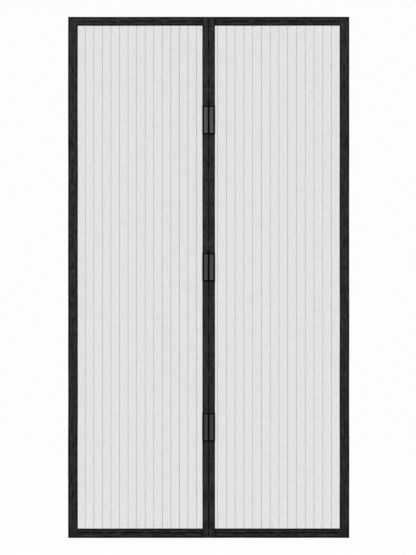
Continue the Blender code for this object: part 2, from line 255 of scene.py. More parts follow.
def stripe_places(word):
    """Where the thick woven stripes of a panel run, across the screen."""
    side = SIDES[word]
    low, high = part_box(f"{word}_net")
    tape_low, tape_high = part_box(f"{word}_side_tape")
    free_edge = tape_high.x if side < 0 else tape_low.x
    first = free_edge - side * STRIPE_MARGIN[word]
    steps = range(-2, 20)  # from under the side tape to past the other edge
    places = [first - side * step * STRIPE_PITCH[word] for step in steps]
    return [x for x in places if low.x + STRIPE_WIDTH < x < high.x - STRIPE_WIDTH]


for word in SIDES:
    print(word, "stripes:", [round(x * 1000, 1) for x in stripe_places(word)])

# %% [markdown]
# ### The tree that weaves
#
# A row of threads is a line of points, each a hair's breadth off its place, with one straight tube at each
# point. A slow ripple then moves neighbouring threads together, as in any net that has been handled. It is
# slight, because a net held tight in its tape is nearly even. The same few nodes make the warp
# and the weft. The third row is the stripes, at points that come from the script.

# %% Steps of a tree
def new_tree(name, sockets):
    """A Geometry Nodes tree with named inputs."""
    tree = bpy.data.node_groups.new(name, "GeometryNodeTree")
    tree.interface.new_socket("Geometry", in_out="INPUT", socket_type="NodeSocketGeometry")
    for label, kind in sockets:
        tree.interface.new_socket(label, in_out="INPUT", socket_type="NodeSocket" + kind)
    tree.interface.new_socket("Geometry", in_out="OUTPUT", socket_type="NodeSocketGeometry")
    return tree, add_node(tree, "NodeGroupInput").outputs


def thread_shape(tree, radius, squeeze, end, stations, sides):
    """A straight tube from the origin to end, with stations along it where it can bend."""
    line = add_node(tree, "GeometryNodeCurvePrimitiveLine", {"End": end})
    line = add_node(tree, "GeometryNodeResampleCurve", {"Curve": line.outputs[0], "Count": stations})
    ring = add_node(tree, "GeometryNodeCurvePrimitiveCircle", {"Resolution": sides, "Radius": radius})
    tube = {"Curve": line.outputs[0], "Profile Curve": ring.outputs[0], "Fill Caps": True}
    tube = add_node(tree, "GeometryNodeCurveToMesh", tube)
    return add_node(tree, "GeometryNodeTransform", {"Geometry": tube.outputs[0], "Scale": squeeze}).outputs[0]


def rippled(tree, geometry, way, height, scale, seed):
    """Moves geometry back and forth along a way by up to half of height."""
    wave = {"W": seed, "Scale": scale, "Detail": 1.0}
    wave = add_node(tree, "ShaderNodeTexNoise", wave, noise_dimensions="4D")
    centred = add_node(tree, "ShaderNodeMath", {0: wave.outputs[0], 1: 0.5}, operation="SUBTRACT")
    sized = add_node(tree, "ShaderNodeMath", {0: centred.outputs[0], 1: height}, operation="MULTIPLY")
    shift = add_node(tree, "ShaderNodeVectorMath", {0: way, "Scale": sized.outputs[0]}, operation="SCALE")
    moved = {"Geometry": geometry, "Offset": shift.outputs[0]}
    return add_node(tree, "GeometryNodeSetPosition", moved).outputs[0]


def thread_row(tree, row, jitter, seed, shape):
    """One shape at each point of a row, each off its place by up to jitter."""
    points = add_node(tree, "GeometryNodeMeshLine", row).outputs[0]
    off = {"Min": tuple(-most for most in jitter), "Max": jitter, "Seed": seed}
    off = add_node(tree, "FunctionNodeRandomValue", off, data_type="FLOAT_VECTOR").outputs[0]
    points = add_node(tree, "GeometryNodeSetPosition", {"Geometry": points, "Offset": off}).outputs[0]
    copies = add_node(tree, "GeometryNodeInstanceOnPoints", {"Points": points, "Instance": shape})
    return add_node(tree, "GeometryNodeRealizeInstances", {"Geometry": copies.outputs[0]}).outputs[0]


print("steps:", [step.__name__ for step in (thread_shape, rippled, thread_row)])

# %% Net tree
WARP_WAY = (1, 0, 0)  # a warp thread strays across the screen, and a weft thread up or down
WEFT_WAY = (0, 0, 1)
WARP_STATIONS = 14
WEFT_STATIONS = 6
THREAD_SIDES = 4
THREAD_JITTER = 0.00003
NET_RIPPLE = (0.0006, 4.0)  # height and scale
WARP_SEED = 3.0  # of the ripple, which the stripes share
WEFT_SEED = 8.0
STRIPE_STATIONS = 120
STRIPE_SIDES = 8
YARN_SLUBS = (0.00018, 160.0, 5.0)  # height, scale and seed of a spun yarn's own unevenness
NET_SOCKETS = [
    *[(name, "Int") for name in ("Warp Count", "Weft Count", "Seed")],
    *[(name, "Vector") for name in ("Foot", "Warp Step", "Weft Step", "Warp End", "Weft End", "Stripe Size")],
    ("Thread", "Float"),
    *[(name, "Material") for name in ("Thread Material", "Stripe Material")],
]


def build_net_tree():
    tree, given = new_tree("woven net", NET_SOCKETS)
    radius = {0: given["Thread"], 1: 0.5}
    radius = add_node(tree, "ShaderNodeMath", radius, operation="MULTIPLY").outputs[0]
    ahead = add_node(tree, "ShaderNodeMath", {0: radius, 1: -1.0}, operation="MULTIPLY").outputs[0]
    threads = add_node(tree, "GeometryNodeJoinGeometry")
    for layer, depth, way, stations, seed in (
        ("Weft", radius, WEFT_WAY, WEFT_STATIONS, WEFT_SEED),
        ("Warp", ahead, WARP_WAY, WARP_STATIONS, WARP_SEED),
    ):
        start = {0: given["Foot"], 1: add_node(tree, "ShaderNodeCombineXYZ", {1: depth}).outputs[0]}
        start = add_node(tree, "ShaderNodeVectorMath", start, operation="ADD").outputs[0]
        row = {"Count": given[f"{layer} Count"], "Start Location": start, "Offset": given[f"{layer} Step"]}
        jitter = tuple(THREAD_JITTER * share for share in way)
        shape = thread_shape(tree, radius, (1, 1, 1), given[f"{layer} End"], stations, THREAD_SIDES)
        row = thread_row(tree, row, jitter, given["Seed"], shape)
        tree.links.new(rippled(tree, row, way, *NET_RIPPLE, seed), threads.inputs[0])
    threads = {"Geometry": threads.outputs[0], "Material": given["Thread Material"]}
    threads = add_node(tree, "GeometryNodeSetMaterial", threads)

    shape = thread_shape(tree, 1.0, given["Stripe Size"], given["Warp End"], STRIPE_STATIONS, STRIPE_SIDES)
    stripes = {"Points": given["Geometry"], "Instance": shape}
    stripes = add_node(tree, "GeometryNodeInstanceOnPoints", stripes)
    stripes = add_node(tree, "GeometryNodeRealizeInstances", {"Geometry": stripes.outputs[0]})
    stripes = rippled(tree, stripes.outputs[0], WARP_WAY, *NET_RIPPLE, WARP_SEED)
    stripes = rippled(tree, stripes, WARP_WAY, *YARN_SLUBS)
    stripes = add_node(tree, "GeometryNodeSetShadeSmooth", {"Geometry": stripes})
    stripes = {"Geometry": stripes.outputs[0], "Material": given["Stripe Material"]}
    stripes = add_node(tree, "GeometryNodeSetMaterial", stripes)
    whole = add_node(tree, "GeometryNodeJoinGeometry")
    tree.links.new(stripes.outputs[0], whole.inputs[0])
    tree.links.new(threads.outputs[0], whole.inputs[0])
    add_node(tree, "NodeGroupOutput", {"Geometry": whole.outputs[0]})
    return tree


net_tree = build_net_tree()
print("net tree:", len(net_tree.nodes), "nodes")

# %% [markdown]
# ### Net yarn
#
# The thin threads are smooth black polyester. The stripes are a thicker spun yarn, so they are duller and
# a little uneven along their length.

# %% Net materials
def new_material(name):
    """An empty material and its node tree."""
    made = bpy.data.materials.new(name)
    made.use_nodes = True
    made.node_tree.nodes.clear()
    return made, made.node_tree


def pattern(tree, kind, scale, **more):
    """A texture that lies on a piece by its place. At a scale of 1000 it changes about every millimetre."""
    where = add_node(tree, "ShaderNodeTexCoord").outputs["Object"]
    return add_node(tree, kind, {"Vector": where, "Scale": scale, **more}).outputs[0]


def shaded(tree, colour, roughness, specular, bump=None, metallic=0.0):
    """Ends a tree in a Principled shader. Numbers go on the shader's own sockets."""
    inputs = {"Base Color": colour, "Roughness": roughness, "Specular IOR Level": specular}
    inputs["Metallic"] = metallic
    if bump is not None:
        inputs["Normal"] = bump
    shader = add_node(tree, "ShaderNodeBsdfPrincipled", inputs)
    add_node(tree, "ShaderNodeOutputMaterial", {"Surface": shader.outputs[0]})


# Polyester thread, spun-dyed black and heat set: a smooth yarn with a low gloss, in patches of 25 mm.
net_thread, tree = new_material("spun-dyed polyester net thread")
patch = pattern(tree, "ShaderNodeTexNoise", 40.0, Detail=2.0)
colour = add_node(tree, "ShaderNodeValToRGB", {"Fac": patch}, stops=((0.3, "#262627"), (0.7, "#303031")))
shaded(tree, colour.outputs[0], 0.55, 0.25)

# Thick spun polyester yarn: matt, with a fuzz of about 1 mm that breaks up its colour.
stripe_yarn, tree = new_material("spun polyester stripe yarn")
fuzz = pattern(tree, "ShaderNodeTexNoise", 900.0, Detail=3.0)
colour = add_node(tree, "ShaderNodeValToRGB", {"Fac": fuzz}, stops=((0.3, "#1d1d1e"), (0.7, "#2c2c2d")))
shaded(tree, colour.outputs[0], 0.85, 0.15)
print("materials:", [m.name for m in bpy.data.materials])

# %% Weave both panels
WEAVE_SEED = {"left": 10, "right": 12}


def grow(name, tree, values, mesh):
    """Runs a tree on a mesh and keeps the result as a plain mesh object."""
    seed = bpy.data.objects.new(f"{name}_seed", mesh)
    bpy.context.collection.objects.link(seed)
    modifier = seed.modifiers.new(tree.name, "NODES")
    modifier.node_group = tree
    for item in tree.interface.items_tree:
        if item.in_out == "INPUT" and item.name in values:
            modifier[item.identifier] = values[item.name]
    graph = bpy.context.evaluated_depsgraph_get()
    made = bpy.data.meshes.new_from_object(seed.evaluated_get(graph))
    made.name = name
    bpy.data.objects.remove(seed)
    piece = bpy.data.objects.new(name, made)
    bpy.context.collection.objects.link(piece)
    made.calc_loop_triangles()
    print(name, "triangles:", len(made.loop_triangles))
    return piece


def weave(word):
    """One panel's net, as large as the net's solid."""
    low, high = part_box(f"{word}_net")
    middle = (low.y + high.y) / 2
    feet = bpy.data.meshes.new(f"{word} stripe feet")
    feet.from_pydata([(x, middle, low.z) for x in stripe_places(word)], [], [])
    values = {
        "Warp Count": int((high.x - low.x) / NET_PITCH),
        "Weft Count": int((high.z - low.z) / NET_PITCH),
        "Foot": (low.x + NET_PITCH / 2, middle, low.z + NET_PITCH / 2),
        "Warp Step": (NET_PITCH, 0.0, 0.0),
        "Weft Step": (0.0, 0.0, NET_PITCH),
        "Warp End": (0.0, 0.0, high.z - low.z - NET_PITCH),
        "Weft End": (high.x - low.x - NET_PITCH, 0.0, 0.0),
        "Thread": THREAD,
        "Stripe Size": (STRIPE_WIDTH / 2, STRIPE_DEPTH / 2, 1.0),
        "Seed": WEAVE_SEED[word],
        "Thread Material": net_thread,
        "Stripe Material": stripe_yarn,
    }
    return grow(f"{word}_woven_net", net_tree, values, feet)


nets = {word: weave(word) for word in SIDES}

for word, net in nets.items():
    low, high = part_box(f"{word}_net")
    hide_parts(f"{word}_net")
    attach(net, BODY)

# %% [markdown]
# ## Folded tape
#
# Each edge of the net lies inside a polyester tape that is folded in two over it, like bias binding on a
# quilt, and sewn through. Sewing pulls the cloth down along each seam and lets it swell between the
# seams, which is what catches the light. The cloth is drawn as one sheet that runs up the back, round
# the fold and down the front. Solidify then gives it an even thickness, as real cloth has. Cloth
# simulation would add little, because the tape is held flat along its whole length.

# %% Section of a folded tape
KINDS = ("side", "inner", "top", "bottom")
# How far the seams of a tape lie from its fold, and how far the cloth swells before, between and after them.
SEAMS = {
    "side": ((0.0118, 0.0288, 0.0388), (0.00045, 0.00006, 0.00030, 0.00004)),
    "inner": ((0.0040, 0.0240), (0.00004, 0.00012, 0.00003)),
    "top": ((0.0190, 0.0356), (0.00040, 0.00040, 0.00004)),
    "bottom": ((0.0200, 0.0376), (0.00040, 0.00040, 0.00004)),
}
CLOTH = 0.0006
FOLD_OUTSIDE = 0.0014
FOLD_MIDDLE = FOLD_OUTSIDE - CLOTH / 2  # radius of the middle of the cloth
FOLD_STEPS = 8
STOP_STEP = 0.0025  # between the points across plain cloth
SEAM_STOPS = (-0.0024, -0.0013, -0.0006, 0.0, 0.0006, 0.0013, 0.0024)  # closer points round a seam
SEAM_ROOM = 0.0030  # no plain point lies nearer to a seam,
EDGE_ROOM = 0.0008  # and no point nearer to the free edge


def section(width, seams):
    """Points of the folded cloth from its back free edge to its front one: (across, depth, way, layer)."""
    count = int((width - FOLD_OUTSIDE) / STOP_STEP) + 1
    most = width - EDGE_ROOM
    plain = [FOLD_OUTSIDE + step * STOP_STEP for step in range(count)]
    clear = [a for a in plain if a < most and all(abs(a - s) > SEAM_ROOM for s in seams)]
    near = [s + off for s in seams for off in SEAM_STOPS if FOLD_OUTSIDE < s + off < most]
    front = sorted([FOLD_OUTSIDE, *clear, *near, width])
    back = sorted([FOLD_OUTSIDE, width, *(a for a in plain[2::2] if a < most)], reverse=True)
    turns = [math.pi * (0.5 + step / FOLD_STEPS) for step in range(1, FOLD_STEPS)]
    bend = [(FOLD_OUTSIDE + FOLD_MIDDLE * math.cos(t), FOLD_MIDDLE * math.sin(t), 0) for t in turns]
    points = [(a, FOLD_MIDDLE, 1) for a in back] + bend + [(a, -FOLD_MIDDLE, -1) for a in front]
    way, made = 0.0, []
    for step, (across, depth, layer) in enumerate(points):
        if step:
            way += math.hypot(across - points[step - 1][0], depth - points[step - 1][1])
        made.append((across, depth, way, layer))
    return made


low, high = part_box("left_side_tape")
print("points in a side tape's section:", len(section(high.x - low.x, SEAMS["side"][0])))

# %% [markdown]
# ### Relief of sewn cloth
#
# No sewn tape is quite straight or flat. Its edge strays a little, the cloth between two seams is a low
# pillow with slow ripples, and the thread gathers small puckers beside each seam. The strays, ripples and
# puckers are smooth noise. Each has a height in metres and a number of changes to the metre, and reads
# its own slice of the noise, so that no two of them rise and fall together.

# %% Relief of a tape
SEAM_DIP = 0.00030
EDGE_LIFT = 0.00005
PILLOW = 0.7  # under 1, a pillow rises faster beside its seams
FOLD_FADE = 0.004  # the cloth next to the fold stays even
PUCKER_REACH = 0.0035
STRAY = 0.0007
STRAY_CHANGES = 3.5
STRAY_FADE = 0.1  # a tape doesn't stray at its two ends
# Height, changes to the metre in two directions, and slice of the noise.
RIPPLE = (0.00010, 70, 22, 0)
PUCKER = (0.00009, 110, 5.3, 20)
BACK_RIPPLE = (0.00006, 60, 20, 50)


def uneven(relief, first, second, seed):
    """A smooth random height at a place, for a relief such as RIPPLE."""
    height, first_changes, second_changes, cut = relief
    return height * noise.noise((first * first_changes, second * second_changes, seed + cut))


def wander(along, length, seed):
    """How far a sewn edge strays from a straight line, which is nothing at its ends."""
    fade = min(1.0, along / STRAY_FADE, (length - along) / STRAY_FADE)
    return max(0.0, fade) * STRAY * noise.noise((along * STRAY_CHANGES, seed, 0.5))


def front_relief(across, along, width, kind, seed):
    """How far the front cloth swells out of flat: over its pillows, less at its seams, with slow ripples."""
    seams, puffs = SEAMS[kind]
    marks = [FOLD_OUTSIDE, *seams, width]
    heights = [0.0] + [-SEAM_DIP] * len(seams) + [EDGE_LIFT]
    height = heights[-1]
    for step in range(len(marks) - 1):
        if marks[step] <= across <= marks[step + 1]:
            x = (across - marks[step]) / (marks[step + 1] - marks[step])
            ease = x * x * (3 - 2 * x)
            height = heights[step] * (1 - ease) + heights[step + 1] * ease
            height += puffs[step] * math.sin(math.pi * x) ** PILLOW
            break
    fade = min(1.0, max(0.0, (across - FOLD_OUTSIDE) / FOLD_FADE))
    height += fade * uneven(RIPPLE, across, along, seed)
    for step, seam in enumerate(seams):
        close = math.exp(-(((across - seam) / PUCKER_REACH) ** 2))
        height += fade * close * uneven(PUCKER, along, step, seed)
    return height


reliefs = [front_relief(place, 1.0, high.x - low.x, "side", 0.0) for place in (0.006, 0.0118, 0.034)]
print("side tape: pillow, seam, pillow in mm:", [round(height * 1000, 2) for height in reliefs])

# %% [markdown]
# ### Where each tape goes
#
# Each tape is worked out in its own measure: across, from the fold towards the free edge, and along. One
# small function for each tape turns that into a place on the screen. The side tapes are mitred into the
# top and bottom ones, so their ends slope. The inner tapes run right through and touch at the middle.

# %% Tapes in their own measure
MITRE_GAP = 0.0001
INNER_CORNER = 0.0030  # radius of the folded corner where the two inner tapes meet
PRESSED = 0.00001  # so that no light shows between the inner tapes
TAPES = [(word, kind) for word in SIDES for kind in KINDS]
TAPE_SEED = {tape: 3.7 * count for count, tape in enumerate(TAPES)}


def corner_loss(across):
    """How much of the length a rounded corner takes away at a place across the tape."""
    short = max(0.0, INNER_CORNER - across)
    return INNER_CORNER - math.sqrt(INNER_CORNER**2 - short**2)


def tape_layout(word, kind):
    """The tape's width, where it starts and ends along itself, and how to place a point."""
    side = SIDES[word]
    lows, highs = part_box(f"{word}_side_tape")
    outer = lows.x if side < 0 else highs.x
    foot, head = lows.z, highs.z
    middle = (lows.y + highs.y) / 2
    widths = {"side": highs.x - lows.x}
    for level in ("top", "bottom"):
        low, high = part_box(f"{word}_{level}_tape")
        widths[level] = high.z - low.z
    low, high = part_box(f"{word}_inner_tape")
    widths["inner"] = max(abs(low.x), abs(high.x))
    width = widths[kind]
    if kind == "side":
        start = lambda across: across * widths["bottom"] / width
        end = lambda across: head - foot - across * widths["top"] / width
        place = lambda across, along, depth: (outer - side * across, middle + depth, foot + along)
    elif kind == "inner":
        start = corner_loss
        end = lambda across: head - foot - corner_loss(across)
        place = lambda across, along, depth: (side * (across - PRESSED), middle + depth, foot + along)
    else:
        run = abs(outer) - widths["inner"]
        fold, way = (head, -1) if kind == "top" else (foot, 1)
        start = lambda across: across * widths["side"] / width + MITRE_GAP
        end = lambda across: run
        place = lambda across, along, depth: (outer - side * along, middle + depth, fold + way * across)
    return width, (start, end), place


def stray(kind, across, along, width, length, seed):
    """How far a point of a tape is moved across it. The folds of the inner tapes stay straight, to meet."""
    return wander(along, length, seed) * (across / width if kind == "inner" else 1.0)


print("widths in mm:", {kind: round(tape_layout("left", kind)[0] * 1000, 1) for kind in KINDS})

# %% [markdown]
# ### Painted shade
#
# The seams, folds and free edges of the tape are painted darker, as the shade that falls in them. So are
# a line along each mitre and a shadow line where a top or bottom tape tucks under an inner tape. The painted
# shade varies along each seam. The folded corners show no painted seam shade, and the lower ones are painted
# darker. The script works out one darkness for each point of the cloth, and the material reads it.

# %% Painted shade on the cloth
# Painted shade across each tape, at its folds, seams and free edges: (place across, half width, darkness).
SEAM_SHADE = {
    "side": ((0.0050, 0.0028, 1.00), (0.0172, 0.0052, 0.50), (0.0248, 0.0046, 0.38), (0.0360, 0.0028, 1.00)),
    "inner": ((0.0010, 0.0036, 0.90), (0.0140, 0.0044, 0.26), (0.0240, 0.0032, 0.78)),
    "top": ((0.0050, 0.0038, 0.92), (0.0200, 0.0050, 1.00), (0.0326, 0.0030, 1.00)),
    "bottom": ((0.0055, 0.0028, 1.00), (0.0220, 0.0064, 0.82), (0.0358, 0.0027, 1.00)),
}
# Painted shade along each mitre, and a painted shadow where a tape tucks under an inner one: (place along,
# half width, darkness).
MITRE_SHADE = (0.0015, 0.0026, 0.40)
TUCK_SHADOW = (0.0015, 0.0042, 0.85)  # where a top or bottom tape ends beside an inner one
SEAM_SHADE_CHANGE = (0.9, 34, 90, 70)  # along and across, as in RIPPLE
RIGHT_PANEL_DARKENING = {"left": 0.0, "right": 0.08}  # the right panel's tapes are drawn slightly darker
BACK_SHADE_SHARE = 0.5  # the back of a tape gets half of the painted shade


def bell(distance, half_width, height):
    """A smooth hump that fades with the distance from its middle."""
    return height * math.exp(-((distance / half_width) ** 2))


def seam_shading(kind, across, from_start, to_end, seed, corners):
    """How much painted shade the front cloth has at a point, from 0 to 1. It varies along a seam."""
    change = 1.0 + uneven(SEAM_SHADE_CHANGE, from_start, across, seed)
    marks = [bell(across - place, half, dark) * change for place, half, dark in SEAM_SHADE[kind]]
    for share, dark in corners:
        marks = [marks[0], *(mark * (1.0 - share) for mark in marks[1:]), share * dark]
    if kind != "inner":
        marks.append(bell(from_start - MITRE_SHADE[0], *MITRE_SHADE[1:]))
        place, half, dark = MITRE_SHADE if kind == "side" else TUCK_SHADOW
        marks.append(bell(to_end - place, half, dark))
    return min(1.0, 1.0 - math.prod(1.0 - min(1.0, mark) for mark in marks))


darkness = [round(seam_shading("side", place, 1.0, 1.0, 0.0, []), 2) for place in (0.005, 0.012)]
print("darkness of a side tape, in a dark line and beside it:", darkness)

# %% Folded corners
CORNER_SHADE = {"top": 0.0, "bottom": 0.33}  # painted shade of the folded corners, which show no painted seam shade; the lower ones are painted darker
CORNER_BLEND = 0.003


def folded_corners(word, kind):
    """Where along a tape its folded corners lie: (place of the corner's tip, size, darkness)."""
    lows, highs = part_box(f"{word}_side_tape")
    if kind in CORNER_SHADE:
        return [(0.0, highs.x - lows.x, CORNER_SHADE[kind])]
    if kind == "inner":
        return []
    corners = []
    for level, tip in (("bottom", 0.0), ("top", highs.z - lows.z)):
        low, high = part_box(f"{word}_{level}_tape")
        corners.append((tip, high.z - low.z, CORNER_SHADE[level]))
    return corners


def corner_shares(along, corners):
    """How far a place lies inside each folded corner, from 0 to 1, and how dark that corner is."""
    inside = [((size - abs(along - tip)) / CORNER_BLEND, dark) for tip, size, dark in corners]
    return [(min(1.0, max(0.0, share)), dark) for share, dark in inside]


print("corners along a side tape:", [round(tip, 3) for tip, size, dark in folded_corners("left", "side")])

# %% [markdown]
# ### Tape cloth
#
# The cloth is plain-woven black polyester with a rib across it, matt and slightly streaked along its
# length, where yarns took the dye differently. Its seams, folds and edges get painted shade, and so do
# the hollows of its rib. Its pattern reads the tape's own UV map, in metres along and across the cloth,
# so that it goes round the fold with the cloth.
# A Mix node has its numbers at inputs 2 and 3, and its colours at 6 and 7.

# %% Tape material
# Woven polyester binding, spun-dyed black: a fine rib of 0.9 mm, drawn as 1.8 mm so that it shows.
tape_cloth, tree = new_material("woven polyester binding tape")
uv = add_node(tree, "ShaderNodeUVMap", uv_map="cloth").outputs[0]
streaks = add_node(tree, "ShaderNodeMapping", {"Vector": uv, "Scale": (250.0, 14.0, 1.0)}).outputs[0]
streaks = add_node(tree, "ShaderNodeTexNoise", {"Vector": streaks, "Scale": 1.0, "Detail": 2.0}).outputs[0]
patches = add_node(tree, "ShaderNodeTexNoise", {"Vector": uv, "Scale": 60.0, "Detail": 3.0}).outputs[0]
both = add_node(tree, "ShaderNodeMix", {0: 0.35, 2: streaks, 3: patches}).outputs[0]
colour = add_node(tree, "ShaderNodeValToRGB", {"Fac": both}, stops=((0.34, "#121213"), (0.66, "#424243")))
rib = {"Vector": uv, "Scale": 175.0, "Distortion": 0.6, "Detail": 2.0}
rib = add_node(tree, "ShaderNodeTexWave", rib, bands_direction="Y").outputs[1]
# Painted shade: the hollows of the rib are coloured up to 0.3 darker, and the seams, folds and edges by the
# cloth's attribute.
rib_shade = add_node(tree, "ShaderNodeMapRange", {0: rib, 3: 0.30, 4: 0.0}).outputs[0]
seam_shade = add_node(tree, "ShaderNodeAttribute", attribute_name="seam_shade").outputs["Fac"]
dark = add_node(tree, "ShaderNodeMath", {0: seam_shade, 1: rib_shade}, operation="MAXIMUM").outputs[0]
colour = {0: dark, 6: colour.outputs[0], 7: linear("#020202")}
colour = add_node(tree, "ShaderNodeMix", colour, data_type="RGBA").outputs[2]
rib = add_node(tree, "ShaderNodeBump", {"Height": rib, "Strength": 0.35, "Distance": 0.0002}).outputs[0]
shaded(tree, colour, 0.8, 0.1, rib)
print("tape cloth:", len(tree.nodes), "nodes")

# %% [markdown]
# ### Folding
#
# The section is repeated along the tape, close together at the ends, where the mitres and corners need
# it. Each point carries its darkness and its place on the flat cloth with it.

# %% From points to cloth
ROW_STEP = 0.006
END_STEPS = (0.0, 0.001, 0.002, 0.0035, 0.005, 0.008)
SHARP = 50  # degrees. An edge that turns by more stays sharp


def stations(length):
    """Shares of a tape's length where its section is set: close together at the ends, which are shaped."""
    run = length - 2 * END_STEPS[-1]
    count = round(run / ROW_STEP)
    between = [END_STEPS[-1] + run * step / count for step in range(1, count)]
    places = [*END_STEPS, *between, *(length - step for step in reversed(END_STEPS))]
    return [place / length for place in places]


def closed_volume(mesh):
    """The volume inside a mesh. It is negative where the faces point inwards."""
    bm = bmesh.new()
    bm.from_mesh(mesh)
    volume = bm.calc_volume(signed=True)
    bm.free()
    return volume


def cloth_mesh(name, points, across_count, darks, ways):
    """A sheet through rows of points, with its darkness and its flat measure."""
    faces = []
    for row in range(len(points) // across_count - 1):
        for step in range(across_count - 1):
            corner = row * across_count + step
            faces.append((corner, corner + 1, corner + 1 + across_count, corner + across_count))
    mesh = bpy.data.meshes.new(name)
    mesh.from_pydata(points, [], faces)
    mesh.attributes.new("seam_shade", "FLOAT", "POINT").data.foreach_set("value", darks)
    flat_measure = mesh.uv_layers.new(name="cloth").data
    for loop in mesh.loops:
        flat_measure[loop.index].uv = ways[loop.vertex_index]
    mesh.materials.append(tape_cloth)
    return mesh


def thicken(piece):
    """Gives a sheet the thickness of its cloth, for good, and shades it smooth but for its sharp edges."""
    thick = piece.modifiers.new("cloth thickness", "SOLIDIFY")
    thick.thickness = CLOTH
    thick.offset = 0.0
    graph = bpy.context.evaluated_depsgraph_get()
    mesh = bpy.data.meshes.new_from_object(piece.evaluated_get(graph))
    piece.modifiers.clear()
    piece.data = mesh
    mesh.shade_smooth()
    mesh.set_sharp_from_angle(angle=math.radians(SHARP))
    mesh.calc_loop_triangles()
    volume = round(closed_volume(mesh) * 1e6, 1)
    print(piece.name, "triangles:", len(mesh.loop_triangles), "volume cm3:", volume)


low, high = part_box("left_side_tape")
print("sections along a side tape:", len(stations(high.z - low.z)))

# %% Fold the tapes
def fold_tape(word, kind):
    """One tape of a panel, from its section and its layout."""
    width, (start, end), place = tape_layout(word, kind)
    outline = section(width, SEAMS[kind][0])
    length = end(0.0) - start(0.0)
    seed = TAPE_SEED[word, kind]
    corners = folded_corners(word, kind)
    points, darks, ways = [], [], []
    for share in stations(length):
        for across, depth, way, layer in outline:
            run = end(across) - start(across)
            along = start(across) + run * share
            if layer < 0:
                depth -= front_relief(across, along, width, kind, seed)
            elif layer > 0:
                depth += uneven(BACK_RIPPLE, across, along, seed)
            points.append(place(across + stray(kind, across, along, width, length, seed), along, depth))
            near = corner_shares(along, corners)
            dark = seam_shading(kind, across, run * share, run * (1 - share), seed, near)
            dark = 1 - (1 - dark) * (1 - RIGHT_PANEL_DARKENING[word])
            darks.append(dark if layer <= 0 else dark * BACK_SHADE_SHARE)
            ways.append((way, along))
    name = f"{word}_{kind}_binding"
    piece = bpy.data.objects.new(name, cloth_mesh(name, points, len(outline), darks, ways))
    bpy.context.collection.objects.link(piece)
    thicken(piece)
    return piece


tapes = {(word, kind): fold_tape(word, kind) for word, kind in TAPES}

# %% Ride and replace the tapes
for (word, kind), tape in tapes.items():
    width, (start, end), _ = tape_layout(word, kind)
    at_fold, at_edge = (end(a) - start(a) for a in (0.0, width))
    cut = section(width, SEAMS[kind][0])[-1][2]
    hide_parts(f"{word}_{kind}_tape")
    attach(tape, BODY)

# %% [markdown]
# ## Stitches
#
# A lockstitch shows the same on both sides: a row of short, tight threads of about 3.4 mm, end to end,
# each pulled a little into the cloth. The script knows where each seam lies, so it draws the seams as
# lines. Geometry Nodes walks along each line and sets one small rounded thread at every step.

# %% Stitch tree
STITCH_STEP = 0.0040
STITCH_SIZE = (0.00026, 0.00020, 0.00170)  # half its width, depth and length
STITCH_LEAST = (0.9, 0.8, 0.92)  # its size varies between these shares
STITCH_MOST = (1.1, 1.2, 1.0)
STITCH_SEED = 5


def build_stitch_tree():
    sockets = [("Step", "Float"), ("Half Size", "Vector"), ("Seed", "Int"), ("Thread Material", "Material")]
    tree, given = new_tree("lockstitch", sockets)
    lines = add_node(tree, "GeometryNodeMeshToCurve", {"Mesh": given["Geometry"]})
    spots = {"Curve": lines.outputs[0], "Length": given["Step"]}
    spots = add_node(tree, "GeometryNodeCurveToPoints", spots, mode="LENGTH").outputs
    thread = add_node(tree, "GeometryNodeMeshIcoSphere", {"Radius": 1.0, "Subdivisions": 1}).outputs[0]
    vary = {"Min": STITCH_LEAST, "Max": STITCH_MOST, "Seed": given["Seed"]}
    vary = add_node(tree, "FunctionNodeRandomValue", vary, data_type="FLOAT_VECTOR").outputs[0]
    size = {0: given["Half Size"], 1: vary}
    size = add_node(tree, "ShaderNodeVectorMath", size, operation="MULTIPLY").outputs[0]
    placed = {"Points": spots["Points"], "Rotation": spots["Rotation"], "Instance": thread, "Scale": size}
    placed = add_node(tree, "GeometryNodeInstanceOnPoints", placed)
    placed = add_node(tree, "GeometryNodeRealizeInstances", {"Geometry": placed.outputs[0]})
    placed = add_node(tree, "GeometryNodeSetShadeSmooth", {"Geometry": placed.outputs[0]})
    placed = {"Geometry": placed.outputs[0], "Material": given["Thread Material"]}
    placed = add_node(tree, "GeometryNodeSetMaterial", placed)
    add_node(tree, "NodeGroupOutput", {"Geometry": placed.outputs[0]})
    return tree


stitch_tree = build_stitch_tree()
print("stitch tree:", len(stitch_tree.nodes), "nodes")

# %% Sewing thread and seams
SEAM_INSET = 0.0025  # how far inside the tape's ends a seam starts
SEAM_ROW = 0.010  # between the points of a seam line
SEAM_SINK = 0.00004  # how far the middle of a stitch lies under the outside of the cloth

# Bonded polyester sewing thread: smoother than the cloth, so a stitch glints a little.
sewing_thread, tree = new_material("bonded polyester sewing thread")
ply = pattern(tree, "ShaderNodeTexNoise", 1500.0, Detail=2.0)
colour = add_node(tree, "ShaderNodeValToRGB", {"Fac": ply}, stops=((0.3, "#151516"), (0.7, "#232324")))
shaded(tree, colour.outputs[0], 0.5, 0.3)


def seam_lines(word):
    """One line for each seam of a panel, front and back, in the face of the cloth."""
    points, edges = [], []
    for kind in KINDS:
        width, (start, end), place = tape_layout(word, kind)
        length = end(0.0) - start(0.0)
        seed = TAPE_SEED[word, kind]
        for across in SEAMS[kind][0]:
            first, last = start(across) + SEAM_INSET, end(across) - SEAM_INSET
            rows = int((last - first) / SEAM_ROW)
            for front in (True, False):
                for row in range(rows + 1):
                    along = first + (last - first) * row / rows
                    depth = FOLD_OUTSIDE - SEAM_SINK
                    if front:
                        depth = -depth - front_relief(across, along, width, kind, seed)
                    aside = stray(kind, across, along, width, length, seed)
                    points.append(place(across + aside, along, depth))
                    if row:
                        edges.append((len(points) - 2, len(points) - 1))
    return points, edges


